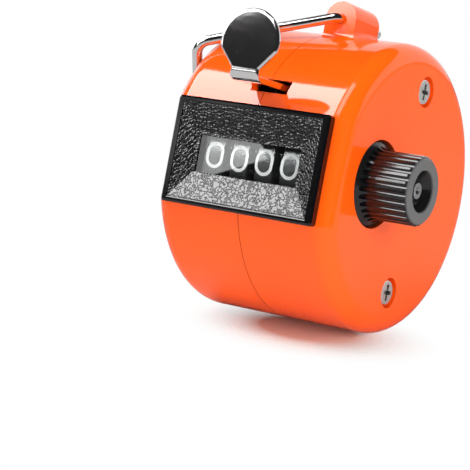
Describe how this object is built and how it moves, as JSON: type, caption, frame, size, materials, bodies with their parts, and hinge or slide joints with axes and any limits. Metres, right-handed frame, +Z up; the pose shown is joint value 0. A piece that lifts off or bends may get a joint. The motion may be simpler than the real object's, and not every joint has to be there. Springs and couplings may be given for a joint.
{
  "type": "mechanical tally counter",
  "caption": "Hand tally counter with a round casing in two halves, four number wheels behind a framed window, a sliding thumb lever, a fluted reset knob and a folding finger ring.",
  "frame": {"origin": "middle of the flat foot under the round casing, on the ground", "axes": "+X along the wheel axle towards the reset knob, -Y towards the window, +Z up; the casing is tipped back 19.3 degrees about X"},
  "size_m": [0.0422, 0.0462, 0.0513],
  "materials": {
    "case_plastic": "glossy orange",
    "bezel_plastic": "black, fine leather grain on the slopes",
    "window": "clear, polished",
    "nickel": "nickel plated",
    "plated_steel": "zinc plated, satin",
    "spring_steel": "plain spring steel",
    "brass": "turned",
    "chrome": "mirror",
    "wheel_plastic": "black, semi-matte",
    "pinion_plastic": "natural",
    "knob_plastic": "glossy black"
  },
  "bodies": {
    "casing": {"right_shell": "case_plastic", "left_shell": "case_plastic", "bezel": "bezel_plastic", "window_lens": "window", "case_screws": "nickel", "left_frame_plate": "plated_steel", "right_frame_plate": "plated_steel", "frame_posts": "plated_steel", "spring_seat": "plated_steel", "pinion_shaft": "plated_steel", "pinion_clips": "spring_steel", "pinion_sleeves": "brass", "axle_spacers": "brass", "friction_washer": "spring_steel", "detent_spring": "spring_steel", "detent_rivets": "brass", "return_spring": "spring_steel"},
    "lever": {"thumb_lever": "chrome", "pawl_pin": "plated_steel", "pawl_spring": "spring_steel"},
    "pawl": {"drive_pawl": "plated_steel"},
    "units": {"units_wheel": "wheel_plastic", "ratchet_wheel": "plated_steel"},
    "tens": {"tens_wheel": "wheel_plastic"},
    "hundreds": {"hundreds_wheel": "wheel_plastic"},
    "thousands": {"thousands_wheel": "wheel_plastic"},
    "tens_carry": {"tens_pinion": "pinion_plastic"},
    "hundreds_carry": {"hundreds_pinion": "pinion_plastic"},
    "thousands_carry": {"thousands_pinion": "pinion_plastic"},
    "reset": {"reset_knob": "knob_plastic", "wheel_axle": "plated_steel", "axle_clip": "spring_steel"},
    "ring": {"finger_ring": "chrome"}
  },
  "joints": [
    {"name": "lever_press", "type": "slide", "parent": "casing", "child": "lever", "axis": [0, 0.9438, -0.3305], "range_m": [0, 0.0042], "stiffness_N_per_m": 400, "springref_m": -0.003, "deforming": ["return_spring"]},
    {"name": "pawl_lift", "type": "hinge", "parent": "lever", "child": "pawl", "pos_m": [0.0088, -0.01188, 0.03521], "axis": [1, 0, 0], "range_deg": [0, 12], "stiffness_Nm_per_rad": 0.004, "springref_deg": -17.19, "deforming": ["pawl_spring"]},
    {"name": "units_spin", "type": "hinge", "parent": "casing", "child": "units", "pos_m": [0.00664, -0.00859, 0.02494], "axis": [-1, 0, 0], "continuous": true, "deforming": ["detent_spring"]},
    {"name": "tens_spin", "type": "hinge", "parent": "casing", "child": "tens", "pos_m": [0.00221, -0.00859, 0.02494], "axis": [-1, 0, 0], "continuous": true},
    {"name": "hundreds_spin", "type": "hinge", "parent": "casing", "child": "hundreds", "pos_m": [-0.00221, -0.00859, 0.02494], "axis": [-1, 0, 0], "continuous": true},
    {"name": "thousands_spin", "type": "hinge", "parent": "casing", "child": "thousands", "pos_m": [-0.00664, -0.00859, 0.02494], "axis": [-1, 0, 0], "continuous": true},
    {"name": "tens_carry_spin", "type": "hinge", "parent": "casing", "child": "tens_carry", "pos_m": [0.00443, 0.0033, 0.02078], "axis": [-1, 0, 0], "continuous": true},
    {"name": "hundreds_carry_spin", "type": "hinge", "parent": "casing", "child": "hundreds_carry", "pos_m": [0, 0.0033, 0.02078], "axis": [-1, 0, 0], "continuous": true},
    {"name": "thousands_carry_spin", "type": "hinge", "parent": "casing", "child": "thousands_carry", "pos_m": [-0.00443, 0.0033, 0.02078], "axis": [-1, 0, 0], "continuous": true},
    {"name": "reset_turn", "type": "hinge", "parent": "casing", "child": "reset", "pos_m": [0.018, -0.00859, 0.02494], "axis": [-1, 0, 0], "continuous": true},
    {"name": "ring_swing", "type": "hinge", "parent": "casing", "child": "ring", "pos_m": [0.0027, 0.00593, 0.04582], "axis": [0, 0.9438, -0.3305], "range_deg": [0, 215]}
  ],
  "couplings": [
    {"joint": "tens_spin", "follows": "units_spin", "ratio": 0.1},
    {"joint": "hundreds_spin", "follows": "units_spin", "ratio": 0.01},
    {"joint": "thousands_spin", "follows": "units_spin", "ratio": 0.001},
    {"joint": "tens_carry_spin", "follows": "units_spin", "ratio": -0.25},
    {"joint": "hundreds_carry_spin", "follows": "units_spin", "ratio": -0.025},
    {"joint": "thousands_carry_spin", "follows": "units_spin", "ratio": -0.0025}
  ]
}
